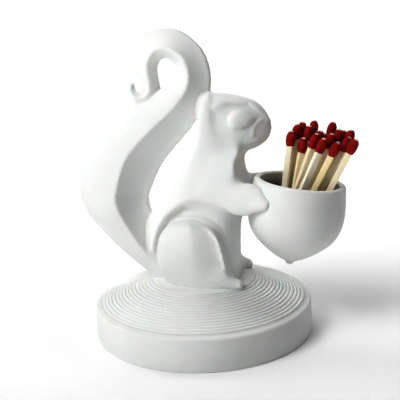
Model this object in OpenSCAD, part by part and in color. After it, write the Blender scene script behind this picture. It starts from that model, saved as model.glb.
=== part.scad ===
// Squirrel match striker: a white porcelain figure on a ridged round base,
// holding an acorn-shaped cup of wooden matches.
// Millimetres, +Z up, the squirrel faces +X, origin at the centre of the underside.

/* [Base] */
// Diameter of the drum at its upper rim
base_d = 82; // [76:1:92]
// How far the drum widens from rim to underside, on the radius
base_draft = 0.3; // [0:0.1:1.5]
// Height of the drum's side wall
rim_h = 12; // [8:0.5:16]
// Rise of the conical top from the rim to the seat
cone_rise = 8; // [5:0.5:10]
// Diameter of the flat seat under the squirrel
seat_d = 37; // [33:0.5:39]
// Radius of the drum's rounded upper edge
edge_r = 1; // [0.5:0.1:1.5]

/* [Striking ridges] */
// Number of ring-shaped ridges on the cone
ridge_count = 15; // [8:1:18]
// Height of each ridge over its grooves
ridge_h = 0.35; // [0.2:0.05:0.7]
// Plain margin between the outermost ridge and the rim
ridge_margin = 2.4; // [1.5:0.1:4]

/* [Acorn cup] */
// Largest outer diameter of the cup
cup_d = 35; // [31:0.5:39]
// Height of the cup from the point to the rim
cup_h = 32; // [29:0.5:36]
// Wall thickness of the cup
cup_wall = 2.4; // [1.8:0.1:3]
// Solid depth between the hollow and the point
cup_floor = 4; // [3:0.25:6]
// Forward lean of the cup
cup_tilt = 8; // [4:0.5:12]
// Height of the rim's centre over the seat
cup_z = 37; // [34:0.5:40]

/* [Squirrel] */
// Reach of the chest at the height of the cup
chest_x = 20.5; // [19:0.25:22]
// How deep the cup is set into the chest
cup_bite = 0.8; // [0.4:0.1:1.5]
// Width of the squirrel across its thighs
figure_w = 34; // [33:0.2:36]
// Half width of the tail at its broadest
tail_half = 9.5; // [7:0.25:12]
// Half width of the torso at the hips
hip_half = 13.5; // [12.5:0.25:14.5]
// Half width of the head at the ears
head_half = 9.6; // [8.5:0.1:11]
// Thickness of each ear
ear_t = 4.8; // [4:0.1:5.4]
// How far each thigh stands out from the middle
thigh_out = 17; // [16.4:0.1:18]
// How far the sides are set back round the thighs
side_hollow = 3; // [2.2:0.1:3.6]
// Length of each eye
eye_len = 9.5; // [7:0.25:10]
// How far each eye stands out of its socket
eye_bulge = 1.5; // [1:0.1:2]
// Depth of the hollow in each side of the face
face_hollow = 1.5; // [1:0.1:2]
// Thickness of the fingertips on the cup
paw_t = 3.2; // [2.6:0.1:3.8]
// Angle that each paw reaches round the cup from the chest
paw_reach = 55; // [50:1:64]

/* [Matches] */
// Side of the square wooden stick
stick_w = 2.1; // [1.8:0.05:2.4]
// Length of a match with its head
match_len = 40.5; // [38:0.5:44]
// Diameter of the dipped head
head_d = 3.4; // [3:0.05:3.6]
// Length of the dipped head
head_len = 5.6; // [4:0.1:6.5]
// How far the wood stops short of the head's tip
tip_cover = 1.3; // [0.8:0.1:2]
// Clearance between a match and the cup
match_gap = 0.35; // [0.2:0.05:0.6]

/* [Hidden] */
$fn = 64;
side_list = [-1, 1];
base_r = base_d / 2;
seat_r = seat_d / 2;
seat_z = rim_h + cone_rise;
// Heights in the squirrel's tables: that of the seat and that of the cup's rim
table_seat = 20;
table_rim = table_seat + cup_z;
// How far the base lifts the squirrel and the cup over their tables
lift = seat_z - table_seat;
cup_r = cup_d / 2;
widening = figure_w / (2 * thigh_out);
// Height in the tables at which the reach of the chest is measured
chest_z = 54;
cup_x = chest_x + cup_r * cos(cup_tilt) - cup_bite + (table_rim - chest_z) * tan(cup_tilt);

// Outer shape of the acorn: share of its radius, share of its height below the rim
ACORN = [
    [0.945, 0.03], [0.968, 0.13], [0.993, 0.26], [1, 0.36], [0.98, 0.46], [0.93, 0.56],
    [0.825, 0.66], [0.66, 0.752], [0.47, 0.836], [0.3, 0.896], [0.175, 0.93],
    [0.1, 0.952], [0.078, 0.98], [0, 1]];

// Tail from root to tip: back edge x, z; front edge x, z; share of the way to the ridge;
// half thickness as a share of tail_half
TAIL = [
    [-15, 14, -5, 14, 0.55, 0.55],
    [-21.5, 21, -9, 23, 0.57, 0.6],
    [-33, 31, -15, 35.5, 0.61, 0.78],
    [-43, 42, -18.5, 45.5, 0.63, 0.95],
    [-46.5, 49, -19.3, 49.5, 0.63, 1],
    [-47.2, 56, -18.6, 53, 0.63, 1],
    [-43.2, 70, -14.5, 61.5, 0.61, 0.95],
    [-36, 78, -9.6, 68, 0.6, 0.87],
    [-26.6, 83.7, -3.7, 74.3, 0.58, 0.78],
    [-17.4, 88.5, 1.6, 80.6, 0.56, 0.7],
    [-10.4, 92.5, 5.4, 88, 0.53, 0.63],
    [-7.2, 96.2, 6.3, 96.4, 0.48, 0.59],
    [-7.4, 99.8, 3, 105.2, 0.42, 0.56],
    [-9.6, 101.6, -5.2, 111.6, 0.36, 0.53],
    [-12, 101.2, -15.4, 111.8, 0.32, 0.5],
    [-13.3, 98.6, -22.4, 105.4, 0.31, 0.46],
    [-13.2, 95, -22.9, 98.5, 0.33, 0.4],
    [-12.8, 92.2, -21.1, 94.8, 0.38, 0.36],
    [-14.6, 87.5, -20, 92, 0.44, 0.31],
    [-18.7, 85.5, -20.3, 90.3, 0.48, 0.28],
    [-22.6, 86.8, -21.4, 90.3, 0.5, 0.25],
    [-24.8, 89.8, -22.2, 91.3, 0.5, 0.21],
    [-25, 92.2, -22.3, 92.8, 0.5, 0.17],
    [-24.3, 93.6, -23.2, 93.8, 0.5, 0.08]];

// Torso from the seat up: height, back x, front x, half width as a share of hip_half,
// how far the front corners lie behind the front
TORSO = [
    [16, -19, 15, 0.9, 5],
    [22, -20, 15.1, 0.92, 5],
    [29, -20.8, 15.2, 0.92, 5.4],
    [36, -20.4, 15.4, 0.9, 6.6],
    [42, -18.9, 15.9, 0.88, 8],
    [47.5, -16, 17.6, 0.88, 7.4],
    [53, -12.2, chest_x - 0.5, 0.88, 3.8],
    [58.5, -8.6, 18.4, 0.84, 2.5],
    [62, -6.4, 17.6, 0.79, 2.4],
    [65.5, -4.1, 17.3, 0.73, 1.9],
    [70, -1.6, 18.5, 0.6, 1.7],
    [76, 0.8, 16.5, 0.5, 3],
    [80, 2.6, 14, 0.4, 4]];

// Thigh from the seat up: height, rear x, front x, share of the way out
THIGH = [
    [17.5, -11.4, 14.8, 0.85],
    [20.5, -12.6, 14.2, 0.88],
    [25.6, -14.2, 12.8, 0.94],
    [29.5, -14.7, 11.8, 0.98],
    [33.5, -14.5, 11.1, 1],
    [37, -13.7, 10.2, 0.99],
    [39.8, -12.3, 8.8, 0.96],
    [41.8, -10, 6.6, 0.91],
    [43.1, -7, 3.6, 0.84],
    [43.9, -4, 0.8, 0.72]];

// Head from nape to nose: x, underside z, top z, half width as a share of head_half
HEAD = [
    [1.4, 76, 84, 0.2],
    [2.6, 71.5, 87.4, 0.7],
    [4.6, 68.6, 88.8, 0.9],
    [8, 67.2, 89, 0.97],
    [12, 66.6, 88.6, 0.97],
    [16.5, 67, 87.7, 0.9],
    [20, 68.2, 86.5, 0.79],
    [23, 69.6, 84.9, 0.63],
    [25.4, 71.3, 82.2, 0.45],
    [26.9, 73.2, 79.6, 0.26],
    [27.6, 75.4, 77.2, 0.06]];

// Ear from the neck up: height, rear x, front x, how far its face lies inside head_half
EAR = [
    [60, -1, 12, 3],
    [67, -1.4, 12.6, 0.9],
    [71.5, 0.6, 11.6, 0.8],
    [74.2, 1.6, 9.8, 0.7],
    [77, 2.4, 8.2, 0.6],
    [81, 2.9, 7.8, 0.6],
    [84, 3.3, 7.7, 1.1],
    [86.4, 3.9, 7.5, 2.2],
    [88, 4.8, 7.1, 3.6],
    [88.9, 5.5, 6.6, 4.8]];

// Outline of the sunken face seen from the side: brow from the ear to the nose, then
// under the jaw and back up inside the ear
FACE = [
    [3, 85.2], [12.6, 85.7], [20, 85.5], [21.9, 84], [24, 82.3], [25.7, 80.4], [26.8, 78.2],
    [30, 76], [30, 62], [3, 62]];

// Outline of the sunken side round the thigh: from the rump over the thigh to the elbow,
// then down the front and under the seat
SIDE = [
    [-17.5, 14], [-17.6, 28], [-16.8, 34], [-13.9, 40.5], [-10.7, 45], [-4.2, 49], [3.2, 50.4],
    [11.5, 49], [19.2, 47], [30, 46], [30, 14]];

// Matches row by row from the near side: place at the foot, place at the rim, lift off
// the floor and twist. Places are in stick widths from the cup's axis.
MATCHES = [
    [[-1.9, 0.95, 0, 25], [-0.5, 2.95, 0.7, -12], [2, 5.3, 1.6, -4]],
    [[-2.1, 0.05, 1.4, 28], [-0.7, 1.93, 4.1, 15], [0.7, 4.15, 4.4, -13]],
    [[-2.4, -2.45, 0, -13], [-1.05, -0.6, 0, 22], [0.3, 1.4, 4, 5], [2.6, 4, 2.7, 20], [4, 5.65, 0.8, 10]],
    [[-2.3, -2, 1.5, 12], [-0.9, -0.3, 3, -10], [0.6, 2, 1.2, 4], [2.1, 4.2, 2.5, 16]],
    [[-1.7, -1.35, 1.1, 8], [0, 0.45, 2.8, 22], [1.6, 2.8, 2.7, -6]]];
row_first = -2.5;
row_pitch_foot = 1.4;
row_pitch_rim = 1.5;
match_list = [for (j = [0 : len(MATCHES) - 1]) for (m = MATCHES[j]) concat([j], m)];
match_count = len(match_list);

function two_digits(i) = str(i < 10 ? "0" : "", i);
function stick_name(i) = str("match_stick_", two_digits(i + 1));
function head_name(i) = str("match_head_", two_digits(i + 1));

// Smooth curve through rows of numbers, with k steps between two rows
function between(a, b, c, d, t) =
    (2 * b + (c - a) * t + (2 * a - 5 * b + 4 * c - d) * t * t + (3 * b - a - 3 * c + d) * t * t * t) / 2;
function smooth(rows, k) = [
    for (i = [0 : len(rows) - 2], s = [0 : k - 1])
        between(rows[max(i - 1, 0)], rows[i], rows[i + 1], rows[min(i + 2, len(rows) - 1)], s / k),
    rows[len(rows) - 1]];

// Closed skin over rings that all have the same number of points
module skin(rings) {
    n = len(rings[0]);
    m = len(rings);
    points = [for (ring = rings) for (p = ring) p];
    sides = [
        for (i = [0 : m - 2], j = [0 : n - 1])
            let (a = i * n + j, b = i * n + (j + 1) % n)
                each [[a, b, a + n], [b, b + n, a + n]]];
    ends = [
        [for (j = [n - 1 : -1 : 0]) j],
        [for (j = [0 : n - 1]) (m - 1) * n + j]];
    polyhedron(points, concat(sides, ends), convexity = 10);
}

module mirrored() {
    for (side = side_list) scale([1, side, 1]) children();
}

// Limb through rows of x, y, z, radius and height as a share of the radius, with both
// ends rounded
function unit(v) = v / norm(v);
function spot(row) = [row[0], row[1], row[2]];
function limb_ring(centre, along, r, tall, n) =
    let (u = unit(cross(along, [0, 1, 0.2])), v = cross(u, along))
    [for (i = [0 : n - 1]) let (a = 360 * i / n) centre + r * (tall * u * cos(a) + v * sin(a))];
module limb(rows, steps = 2, n = 16) {
    path = smooth(rows, steps);
    last = len(path) - 1;
    dirs = [for (i = [0 : last]) unit(spot(path[min(i + 1, last)]) - spot(path[max(i - 1, 0)]))];
    function end_ring(i, a) =
        let (row = path[i], r = row[3])
        limb_ring(spot(row) + dirs[i] * r * sin(a), dirs[i], r * cos(a), row[4], n);
    skin(concat(
        [for (a = [-76, -40]) end_ring(0, a)],
        [for (i = [0 : last]) end_ring(i, 0)],
        [for (a = [40, 76]) end_ring(last, a)]));
}

// Drum with a conical ridged top and a flat seat
module base() {
    ridge_in = seat_r + 0.6;
    ridge_out = base_r - ridge_margin;
    pitch = (ridge_out - ridge_in) / ridge_count;
    slope = cone_rise / (base_r - edge_r - seat_r);
    function cone_z(r) = rim_h + slope * (base_r - edge_r - r);
    ridges = [
        for (i = [0 : ridge_count - 1])
            let (r = ridge_out - i * pitch)
                each [
                    [r, cone_z(r)],
                    [r - 0.22 * pitch, cone_z(r - 0.22 * pitch) + ridge_h],
                    [r - 0.68 * pitch, cone_z(r - 0.68 * pitch) + ridge_h]]];
    edge = [for (a = [0 : 22.5 : 90]) [base_r - edge_r + edge_r * cos(a), rim_h - edge_r + edge_r * sin(a)]];
    rotate_extrude()
        polygon(concat(
            [[0, 0], [base_r + base_draft - 0.6, 0], [base_r + base_draft, 0.6]],
            edge, ridges, [[ridge_in, cone_z(ridge_in)], [seat_r, seat_z], [0, seat_z]]));
}

// One ring of the tail: rounded behind the ridge, hollow in front of it
function tail_ring(row) =
    let (
        back = [row[0], row[1]],
        front = [row[2], row[3]],
        ridge = row[4],
        half = max(row[5] * tail_half, 0.2),
        lip = 0.16 * half,
        hollow = 1 + 0.09 * half,
        behind = [
            for (s = [0.03, 0.14, 0.34, 0.6, 0.84])
                [s * ridge, half * (0.65 * sqrt(s * (2 - s)) + 0.35 * s)]],
        before = [
            for (s = [0, 0.16, 0.36, 0.6, 0.82])
                [ridge + s * (1 - ridge), lip + (half - lip) * pow(1 - s, hollow)]],
        near = concat([[0, 0]], behind, before, [[0.975, lip * 0.85]]),
        far = [for (i = [len(near) - 1 : -1 : 1]) [near[i][0], -near[i][1]]])
    [for (p = concat(near, [[1, 0]], far)) let (q = back + p[0] * (front - back)) [q[0], p[1], q[1]]];

module tail() {
    skin([for (row = smooth(TAIL, 3)) tail_ring(row)]);
}

// Torso ring: half an ellipse from the spine to the corners, closed by a bulging front
function torso_ring(row, inset) =
    let (
        back = row[1] + 0.2 * inset,
        front = row[2] - 0.2 * inset,
        half = row[3] * hip_half - inset,
        corner = front - row[4],
        round = min(max((52 - row[0]) / 6, 0), 1),
        face = [
            for (y = [1 : -0.25 : -1])
                [front - row[4] * ((1 - round) * y * y + round * (1 - sqrt(1 - y * y))), half * y]],
        rear = [
            for (a = [78 : -12 : -78])
                [back + (corner - back) * (1 - cos(a)), -half * sign(a) * pow(abs(sin(a)), 0.85)]])
    [for (p = concat(face, rear)) [p[0], p[1], row[0]]];

module torso_skin(inset) {
    skin([for (row = smooth(TORSO, 2)) torso_ring(row, inset)]);
}

// Torso with its sides set back round the thighs
module torso() {
    torso_skin(side_hollow);
    difference() {
        torso_skin(0);
        rotate([90, 0, 0])
            linear_extrude(4 * hip_half, center = true) polygon(SIDE);
    }
}

function head_ring(row, inset, n = 30) =
    let (mid = (row[1] + row[2]) / 2, reach = (row[2] - row[1]) / 2 - 0.2 * inset)
    let (half = max(row[3] * head_half - inset, 0.3))
    [for (i = [0 : n - 1])
        let (a = 360 * i / n, c = cos(a), s = sin(a))
        [row[0], -half * sign(c) * pow(abs(c), 0.9), mid + reach * sign(s) * pow(abs(s), 0.9)]];

module head_skin(inset) {
    skin([for (row = smooth(HEAD, 2)) head_ring(row, inset)]);
}

// Head with the face set back under the brow and in front of the ears
module head() {
    head_skin(face_hollow);
    difference() {
        head_skin(0);
        rotate([90, 0, 0])
            linear_extrude(4 * head_half, center = true) polygon(FACE);
    }
}

module eyes() {
    eye_x = 17.6;
    eye_z = 79.8;
    mirrored()
        translate([eye_x, head_half * 0.86 - face_hollow, eye_z])
            rotate([0, 10, -16]) scale([eye_len / 2, eye_bulge, eye_len * 0.3]) sphere(1, $fn = 24);
}

function ear_ring(row, n = 16) =
    let (mid = (row[1] + row[2]) / 2, reach = (row[2] - row[1]) / 2, out = head_half - row[3])
    [for (i = [0 : n - 1])
        let (a = 360 * i / n, c = cos(a), s = sin(a))
        let (behind = ear_t / 2 * (1 + sign(s) * pow(abs(s), 0.6)))
        [mid + reach * sign(c) * pow(abs(c), 0.5), out - behind, row[0]]];

// Flat ears that rise out of the neck and lie against the head
module ears() {
    mirrored() skin([for (row = smooth(EAR, 2)) ear_ring(row)]);
}

// Place of a paw on the cup's outer wall, at an angle round its axis from the chest
function on_cup(angle, out, z, r, tall) =
    let (away = cup_r + out)
    [cup_x + (z - table_rim) * tan(cup_tilt) - away * cos(angle), away * sin(angle) / widening, z, r, tall];

module arms() {
    tip = paw_t / 2;
    mirrored()
        limb([
            [-3, 4, 56, 4, 1.3],
            [5, 6.2, 54, 4.1, 1.3],
            [11, 8.4, table_rim - 4.2, 3.6, 1.45],
            [16, 10.1, table_rim - 4.6, 3.1, 1.9],
            on_cup(paw_reach - 17.5, 1.6, table_rim - 4.7, 1.5 * tip, 2.3),
            on_cup(paw_reach - 9, 0.5, table_rim - 5.4, 1.22 * tip, 2),
            on_cup(paw_reach, -0.2, table_rim - 6, tip, 1.4)], 3);
}

// Thigh ring: a dome from its rear to a crisp front rim, flat towards the belly
across = [0, 0.05, 0.16, 0.32, 0.5, 0.66, 0.78, 0.89, 1];
function dome(u, apex = 0.66) =
    u < apex ? sqrt(max(0, 1 - pow(u / apex - 1, 2))) : 1 - 0.2 * pow((u - apex) / (1 - apex), 1.4);
function thigh_ring(row) =
    let (
        rear = row[1],
        front = row[2],
        deep = 0.9 * thigh_out,
        inner = row[3] * thigh_out - deep,
        near = [for (u = across) [rear + (front - rear) * u, inner + deep / 2 * (1 + dome(u))]],
        far = [[front, inner], [rear + 0.3 * (front - rear), inner]])
    [for (p = concat(near, far)) [p[0], p[1], row[0]]];

module legs() {
    mirrored() {
        skin([for (row = smooth(THIGH, 2)) thigh_ring(row)]);
        limb([
            [2, 10.6, table_seat + 5, 4.6, 1],
            [7.6, 11.4, table_seat + 3.8, 4.4, 1],
            [12.4, 12, table_seat + 1.9, 3.4, 0.9],
            [15.4, 12.2, table_seat + 1, 2.5, 0.9]]);
    }
}

// The whole animal as one skin, brought to its width across the thighs
module squirrel() {
    translate([0, 0, lift]) resize([0, figure_w, 0]) {
        tail();
        torso();
        head();
        eyes();
        ears();
        arms();
        legs();
    }
}

module in_cup_frame() {
    translate([cup_x, 0, table_rim + lift]) rotate([0, cup_tilt, 0]) children();
}

// Outer outline of the cup as radius and height, from the rim down
function acorn(radius, height) = [for (p = smooth(ACORN, 3)) [max(p[0], 0) * radius, -p[1] * height]];
lip_r = 0.42 * cup_wall;
rim_r = ACORN[0][0] * cup_r;
hollow_line = acorn(cup_r - cup_wall, cup_h - cup_floor);

module cup_outside() {
    lip = [for (a = [90 : -22.5 : 0]) [rim_r - lip_r + lip_r * cos(a), lip_r * (sin(a) - 1)]];
    rotate_extrude()
        polygon(concat([[0, 0]], lip, acorn(cup_r, cup_h)));
}

module cup_hollow() {
    inner = rim_r - cup_wall;
    above = 4;
    lip = [for (a = [90 : 22.5 : 180]) [inner + lip_r + lip_r * cos(a), lip_r * (sin(a) - 1)]];
    rotate_extrude()
        polygon(concat([[0, above], [inner + lip_r, above]], lip, hollow_line));
}

module squirrel_holder() {
    color("white") difference() {
        union() {
            base();
            squirrel();
            in_cup_frame() cup_outside();
        }
        in_cup_frame() cup_hollow();
    }
}

// Height of the cup's hollow floor at a distance from the axis
floor_line = [for (i = [len(hollow_line) - 1 : -1 : 10]) hollow_line[i]];
corner = stick_w / sqrt(2) + match_gap;
function floor_h(r) = lookup(r, floor_line);

// Foot, direction and twist of one match in the cup's own frame
function match_foot(m) =
    let (x = m[1] * stick_w, y = (row_first + m[0] * row_pitch_foot) * stick_w)
    [x, y, floor_h(norm([x, y]) + corner) + m[3] + match_gap];
function match_rim(m) = [m[2] * stick_w, (row_first + m[0] * row_pitch_rim) * stick_w, 0];

module along_match(i) {
    m = match_list[i];
    foot = match_foot(m);
    dir = match_rim(m) - foot;
    turn = atan2(dir[1], dir[0]);
    in_cup_frame()
        translate(foot)
            rotate([0, acos(dir[2] / norm(dir)), turn])
                rotate([0, 0, m[4] - turn])
                    children();
}

module stick_blank() {
    translate([-stick_w / 2, -stick_w / 2, 0]) cube([stick_w, stick_w, match_len - tip_cover]);
}

module match_stick(i) {
    color("burlywood") along_match(i) stick_blank();
}

// Bulb of the head: share of its radius, share of its length from the neck
BULB = [
    [0.7, 0], [0.86, 0.12], [0.97, 0.3], [1, 0.48], [0.93, 0.66], [0.76, 0.8],
    [0.52, 0.9], [0.28, 0.97], [0, 1]];

module match_head(i) {
    color("firebrick") along_match(i) difference() {
        translate([0, 0, match_len - head_len])
            rotate_extrude()
                polygon(concat([[0, 0]], [for (p = BULB) [p[0] * head_d / 2, p[1] * head_len]]));
        stick_blank();
    }
}

squirrel_holder();
for (i = [0 : match_count - 1]) {
    match_stick(i);
    match_head(i);
}
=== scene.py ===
# %% [markdown]
# # A porcelain squirrel that strikes matches
#
# The object is one piece of unglazed white porcelain: a drum with a cone of fine
# ridges, a squirrel that sits on it, and an acorn cup between its paws. Wooden
# matches stand in the cup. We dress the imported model, which is loaded first and
# stays where it is. Everything here is in metres, but the sizes of the figure are
# written in millimetres, as a modeller would write them, and `MM` turns them into metres.

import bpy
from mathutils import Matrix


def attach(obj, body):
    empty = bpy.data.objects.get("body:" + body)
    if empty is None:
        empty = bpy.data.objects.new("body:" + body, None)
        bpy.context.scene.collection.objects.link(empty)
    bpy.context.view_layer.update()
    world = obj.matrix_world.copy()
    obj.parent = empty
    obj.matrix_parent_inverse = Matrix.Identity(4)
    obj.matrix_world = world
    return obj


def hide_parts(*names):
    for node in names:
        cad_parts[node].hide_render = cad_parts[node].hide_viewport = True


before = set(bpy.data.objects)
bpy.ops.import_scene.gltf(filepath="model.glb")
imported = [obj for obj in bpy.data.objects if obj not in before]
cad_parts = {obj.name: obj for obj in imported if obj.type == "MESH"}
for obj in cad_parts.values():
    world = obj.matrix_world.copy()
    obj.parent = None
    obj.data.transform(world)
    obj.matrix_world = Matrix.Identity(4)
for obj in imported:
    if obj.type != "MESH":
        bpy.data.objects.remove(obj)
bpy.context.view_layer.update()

import math
import bmesh
import bpy
import numpy as np
from mathutils import Matrix, Vector
from mathutils.bvhtree import BVHTree

MM = 0.001

# %% [markdown]
# ## Camera
# The photo looks at the squirrel's right side, a little from the front and from
# above. The lens is given by how many picture widths lie between the object and the
# camera, and the picture leans by two and a half degrees, as a hand-held one does.

# %% Camera
def aim(location, azimuth, down, roll):
    """World matrix of a camera: azimuth from -Y towards +X, looking down, then rolled."""
    turn = Matrix.Rotation(math.radians(azimuth), 4, "Z")
    pitch = Matrix.Rotation(math.radians(90 - down), 4, "X")
    lean = Matrix.Rotation(math.radians(roll), 4, "Z")
    return Matrix.Translation(location) @ turn @ pitch @ lean


SENSOR = 36.0
FOCAL_PIXELS = 675 / 400
camera_data = bpy.data.cameras.new("camera")
camera_data.sensor_width = SENSOR
camera_data.lens = FOCAL_PIXELS * SENSOR
camera = bpy.data.objects.new("camera", camera_data)
bpy.context.scene.collection.objects.link(camera)
camera.matrix_world = aim(Vector((55.3, -239.7, 105.0)) * MM, azimuth=12.92, down=12.72, roll=-2.5)
bpy.context.scene.camera = camera
print("camera lens", round(camera_data.lens, 1), "mm")

# %% [markdown]
# ## One small language for nodes
# Shader maths reads best as plain Python, so `Sock` wraps one socket and turns `a * b`
# or `1 - a` into Math nodes. `Tree.node` adds any other node: its type, its settings,
# then the values or links of its sockets. The same two classes build the Geometry
# Nodes trees further down.

# %% Node helpers
class Sock:
    """One output socket that can be used in arithmetic."""

    def __init__(self, tree, socket):
        self.tree, self.socket = tree, socket

    def math(self, operation, *others):
        return self.tree.node("ShaderNodeMath", {"operation": operation}, dict(enumerate((self,) + others)))

    def __add__(self, other):
        return self.math("ADD", other)

    def __sub__(self, other):
        return self.math("SUBTRACT", other)

    def __rsub__(self, other):
        return self.tree.value(other).math("SUBTRACT", self)

    def __mul__(self, other):
        return self.math("MULTIPLY", other)

    __radd__, __rmul__ = __add__, __mul__

    def ramp(self, low, high):
        """0 at low, 1 at high, eased in between."""
        return self.tree.node("ShaderNodeMapRange", {"interpolation_type": "SMOOTHSTEP"},
                              {"Value": self, "From Min": low, "From Max": high})


class Tree:
    """A node tree that grows by method calls."""

    def __init__(self, tree):
        self.tree = tree

    def node(self, kind, settings=None, values=None, out=0):
        made = self.tree.nodes.new(kind)
        for name, setting in (settings or {}).items():
            setattr(made, name, setting)
        for name, value in (values or {}).items():
            socket = made.inputs[name]
            if isinstance(value, Sock):
                self.tree.links.new(value.socket, socket)
            else:
                socket.default_value = value
        return Sock(self, made.outputs[out])

    def value(self, number):
        made = self.node("ShaderNodeValue")
        made.socket.default_value = number
        return made

    def mix(self, share, first, second):
        """The first colour where the share is 0, the second where it is 1."""
        made = self.tree.nodes.new("ShaderNodeMix")
        made.data_type = "RGBA"
        ids = {s.identifier: s for s in made.inputs}
        for key, value in (("Factor_Float", share), ("A_Color", first), ("B_Color", second)):
            if isinstance(value, Sock):
                self.tree.links.new(value.socket, ids[key])
            else:
                ids[key].default_value = value
        return Sock(self, made.outputs[2])

    def vector(self, operation, first, second):
        return self.node("ShaderNodeVectorMath", {"operation": operation}, {0: first, 1: second})

    def noise(self, where, scale, detail=2.0, rough=0.5):
        return self.node("ShaderNodeTexNoise", None,
                         {"Vector": where, "Scale": scale, "Detail": detail, "Roughness": rough})


def new_material(name, **fixed):
    """A material with a Principled shader whose plain sockets are set directly."""
    material = bpy.data.materials.new(name)
    material.use_nodes = True
    tree = Tree(material.node_tree)
    shader = material.node_tree.nodes["Principled BSDF"]
    for socket, value in fixed.items():
        shader.inputs[socket.replace("_", " ")].default_value = value
    return material, tree, shader


def plug(tree, source, shader, name):
    tree.tree.links.new(source.socket, shader.inputs[name])

# %% [markdown]
# ## Unglazed porcelain
# Biscuit porcelain is white with a breath of grey, dry to the touch, and never quite
# even: the kiln leaves faint clouds and the mould leaves a fine sandy skin. The creases
# are darker, partly as dust and partly as painted shade. Three layers of noise in Object
# coordinates give the clouds, the skin and a few pinholes. The creases come from an
# attribute named `crease` that we measure on the mesh, so they follow the modelling
# exactly. A second attribute paints shade inside the cup, darker with depth below the rim.

# %% Porcelain
def porcelain(name):
    material, tree, shader = new_material(
        name, IOR=1.5, Specular_IOR_Level=0.35, Subsurface_Weight=0.12, Subsurface_Scale=0.0015)
    place = tree.node("ShaderNodeTexCoord", out=3)
    clouds = tree.noise(place, 45.0, 4.0).ramp(0.3, 0.7)
    skin = tree.noise(place, 2600.0, 3.0, 0.6)
    pores = tree.node("ShaderNodeTexVoronoi", {"feature": "F1"}, {"Vector": place, "Scale": 620.0})
    pinhole = (1 - pores.ramp(0.04, 0.12)) * tree.noise(place, 160.0).ramp(0.56, 0.66)
    crease = tree.node("ShaderNodeAttribute", {"attribute_name": "crease"}, out=2)
    white = tree.mix(clouds, (0.83, 0.845, 0.83, 1), (0.87, 0.88, 0.87, 1))
    # dust and painted shade: the hollows found by the crease attribute are mixed towards grey
    dust_and_shade = tree.mix(crease.ramp(0.1, 0.9) * 0.25, white, (0.48, 0.46, 0.42, 1))
    spotted = tree.mix(pinhole * 0.35, dust_and_shade, (0.5, 0.49, 0.46, 1))
    # painted shade: the inside of the cup is mixed towards near black
    inner_shade = tree.node("ShaderNodeAttribute", {"attribute_name": "inner_shade"}, out=2)
    colour = tree.mix(inner_shade * (0.8 + 0.2 * clouds), spotted, (0.1, 0.08, 0.065, 1))
    plug(tree, colour, shader, "Base Color")
    plug(tree, 0.5 + clouds * 0.06 + skin * 0.1, shader, "Roughness")
    relief = skin * 0.7 + clouds * 0.3 - pinhole * 0.8
    bump = tree.node("ShaderNodeBump", None, {"Strength": 0.22, "Distance": 0.00012, "Height": relief})
    plug(tree, bump, shader, "Normal")
    return material


bisque = porcelain("bisque_porcelain")
print("made", bisque.name)

# %% [markdown]
# ## Modelling by sections
# A figure like this is easiest to build the way a sculptor roughs it out: each limb is
# a stack of cross-sections along a line, with a smooth curve drawn through them. `flow`
# is that curve (Catmull-Rom), and `loft` joins the sections to a closed skin.

# %% Sections and skins
def flow(rows, steps):
    """Smooth curve through rows of numbers, with a number of steps between two rows."""
    rows = np.array(rows, float)
    ends = np.vstack([rows[:1], rows, rows[-1:]])
    t = (np.arange(steps) / steps)[:, None]
    parts = []
    for a, b, c, d in zip(ends[:-3], ends[1:-2], ends[2:-1], ends[3:]):
        parts.append((2 * b + (c - a) * t + (2 * a - 5 * b + 4 * c - d) * t ** 2
                      + (3 * b - a - 3 * c + d) * t ** 3) / 2)
    return np.vstack(parts + [rows[-1:]])


def mesh_object(name, points, faces, material=None):
    """A new object from points in millimetres."""
    mesh = bpy.data.meshes.new(name)
    mesh.from_pydata((np.asarray(points, float) * MM).tolist(), [], [list(map(int, f)) for f in faces])
    mesh.update()
    made = bpy.data.objects.new(name, mesh)
    bpy.context.scene.collection.objects.link(made)
    if material:
        mesh.materials.append(material)
        mesh.shade_smooth()
    return made


def loft(rings, flip=False):
    """Points and faces of a closed skin over rings with equal numbers of points."""
    count, size = len(rings), len(rings[0])
    points = np.concatenate(rings)
    i, j = np.meshgrid(np.arange(count - 1), np.arange(size), indexing="ij")
    here, beside = i * size + j, i * size + (j + 1) % size
    faces = np.stack([here, beside, beside + size, here + size], -1).reshape(-1, 4).tolist()
    faces += [list(range(size))[::-1], list(range((count - 1) * size, count * size))]
    return points, [f[::-1] for f in faces] if flip else faces


def both_sides(points, faces):
    """The same skin on the near and the far side of the animal."""
    other = points * [1, -1, 1]
    return (np.concatenate([points, other]),
            faces + [[v + len(points) for v in f][::-1] for f in faces])


def limb(rows, steps=8, size=40):
    """Limb through rows of x, y, z, radius and height as a share of it, with round ends."""
    path = flow(rows, steps)
    spots = path[:, :3]
    along = np.gradient(spots, axis=0)
    along /= np.linalg.norm(along, axis=1)[:, None]
    turn = np.linspace(0, 2 * math.pi, size, endpoint=False)

    def ring(i, lean):
        side = np.cross(along[i], [0, 1, 0.2])
        side /= np.linalg.norm(side)
        up = np.cross(side, along[i])
        radius, tall = path[i, 3] * math.cos(lean), path[i, 4]
        centre = spots[i] + along[i] * path[i, 3] * math.sin(lean)
        return centre + radius * (np.outer(np.cos(turn), side) * tall + np.outer(np.sin(turn), up))

    bends = np.radians([20, 40, 60, 80])
    rings = [ring(0, -b) for b in bends[::-1]]
    rings += [ring(i, 0) for i in range(len(path))]
    rings += [ring(len(path) - 1, b) for b in bends]
    return loft(rings, flip=True)


def squash(value, power):
    """Power that keeps the sign, for rounded squares."""
    return np.sign(value) * np.abs(value) ** power

# %% [markdown]
# ## The tail
# The tail is one blade that rises from the seat, swings back, and curls over into a
# hook. Its section is a teardrop: round behind, a crisp ridge on each side, and a
# hollow face in front. The rows follow the middle plane from root to tip.

# %% Tail
TAIL_HALF = 9.5
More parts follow.
